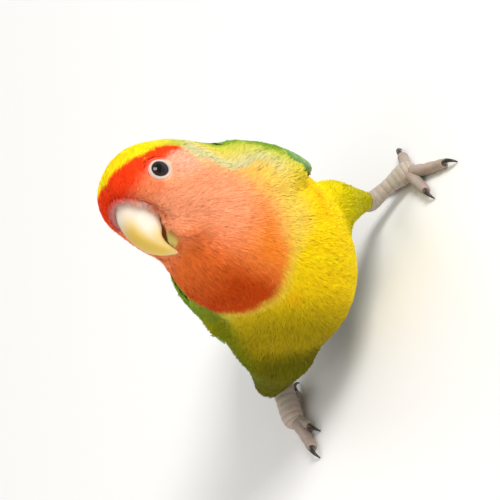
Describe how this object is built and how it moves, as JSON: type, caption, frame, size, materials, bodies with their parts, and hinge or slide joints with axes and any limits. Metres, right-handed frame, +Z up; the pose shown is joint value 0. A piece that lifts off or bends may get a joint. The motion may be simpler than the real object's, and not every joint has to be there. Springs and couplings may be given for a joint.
{
  "type": "peach-faced lovebird, life-size standing model",
  "caption": "Small parrot model standing on its own feet, head turned and cocked to its right, wings folded, short tail; solid body, hooked bill and zygodactyl feet.",
  "frame": {"origin": "centre of the bounding box at the floor, under the standing bird", "axes": "+Z up; +X to the bird's left; the bird's breast faces -Y and its tail points along +Y, the longest extent"},
  "size_m": [0.0808, 0.1166, 0.0828],
  "materials": {
    "face_feathers": "soft matt feathers",
    "breast_feathers": "soft matt feathers",
    "wing_feathers": "satin vaned feathers",
    "bill_horn": "smooth horn",
    "leg_skin": "scaled skin",
    "claw": "dark horn",
    "eye": "wet gloss"
  },
  "bodies": {
    "root": {"torso": "breast_feathers", "neck": "face_feathers", "eye_left": "eye", "eye_right": "eye", "head": "face_feathers", "bill_upper": "bill_horn", "bill_lower": "bill_horn", "thigh_left": "breast_feathers", "tarsus_left": "leg_skin", "toe_3_left": "leg_skin", "claw_3_left": "claw", "toe_2_left": "leg_skin", "claw_2_left": "claw", "toe_4_left": "leg_skin", "claw_4_left": "claw", "toe_1_left": "leg_skin", "claw_1_left": "claw", "thigh_right": "breast_feathers", "tarsus_right": "leg_skin", "toe_3_right": "leg_skin", "claw_3_right": "claw", "toe_2_right": "leg_skin", "claw_2_right": "claw", "toe_4_right": "leg_skin", "claw_4_right": "claw", "toe_1_right": "leg_skin", "claw_1_right": "claw", "wing_left": "wing_feathers", "wing_right": "wing_feathers", "tail": "wing_feathers"}
  },
  "joints": []
}
